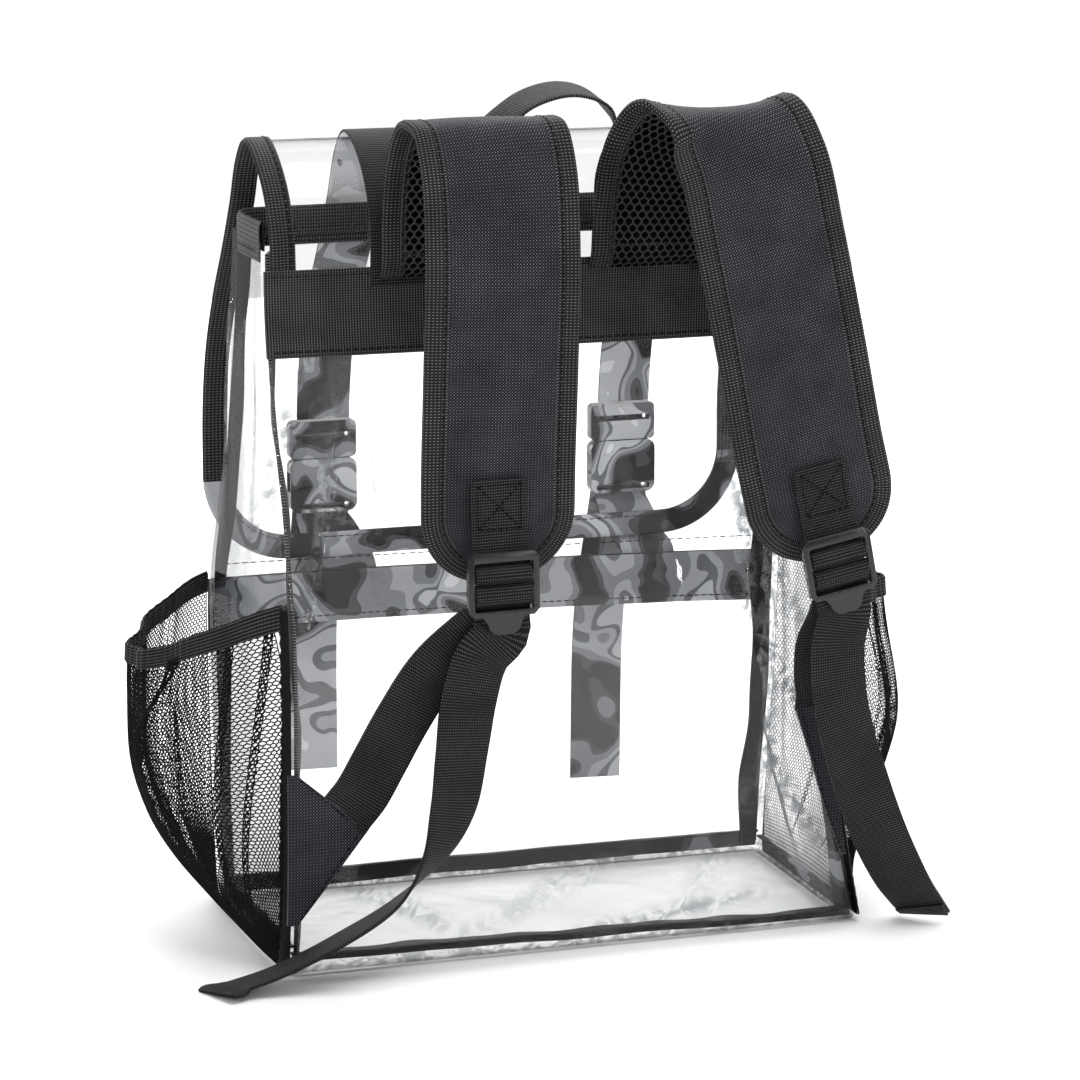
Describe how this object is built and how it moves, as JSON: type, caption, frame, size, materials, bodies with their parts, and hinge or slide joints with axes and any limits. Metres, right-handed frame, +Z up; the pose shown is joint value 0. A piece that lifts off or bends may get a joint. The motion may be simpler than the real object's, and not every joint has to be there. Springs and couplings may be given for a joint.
{
  "type": "clear backpack",
  "caption": "Clear vinyl backpack with bound seams, a covering flap with buckled straps, mesh side pockets, padded shoulder straps and a carrying loop, standing on its base.",
  "frame": {"origin": "middle of the base on the ground", "axes": "+Z up, +Y towards the front pocket, -Y towards the wearer's back, +X to the right seen from the wearer's side"},
  "size_m": [0.4343, 0.2343, 0.458],
  "materials": {
    "vinyl": "clear flexible vinyl film, glossy",
    "tape": "black grosgrain binding",
    "webbing": "black ribbed polypropylene webbing",
    "canvas": "charcoal plain-woven polyester",
    "mesh": "black knitted mesh",
    "plastic": "satin moulded acetal"
  },
  "bodies": {
    "root": {"base_panel": "vinyl", "back_panel": "vinyl", "front_panel": "vinyl", "left_panel": "vinyl", "right_panel": "vinyl", "pocket_panel": "vinyl", "flap_panel": "vinyl", "seam_back_left": "tape", "seam_back_right": "tape", "seam_front_left": "tape", "seam_front_right": "tape", "base_seam_back": "tape", "base_seam_front": "tape", "base_seam_left": "tape", "base_seam_right": "tape", "rim_binding": "tape", "pocket_hem": "tape", "flap_binding": "tape", "left_pad_binding": "tape", "right_pad_binding": "tape", "left_pocket_elastic": "tape", "right_pocket_elastic": "tape", "back_webbing": "webbing", "haul_handle": "webbing", "left_pad_tab": "webbing", "right_pad_tab": "webbing", "left_adjuster_strap": "webbing", "right_adjuster_strap": "webbing", "left_flap_strap": "webbing", "right_flap_strap": "webbing", "left_lower_webbing": "webbing", "right_lower_webbing": "webbing", "left_strap_tail": "webbing", "right_strap_tail": "webbing", "left_pad_cover": "canvas", "right_pad_cover": "canvas", "left_strap_anchor": "canvas", "right_strap_anchor": "canvas", "left_pad_lining": "mesh", "right_pad_lining": "mesh", "left_mesh_pocket": "mesh", "right_mesh_pocket": "mesh", "left_ladder_lock": "plastic", "right_ladder_lock": "plastic", "left_buckle_prong": "plastic", "right_buckle_prong": "plastic", "left_buckle_socket": "plastic", "right_buckle_socket": "plastic"}
  },
  "joints": []
}
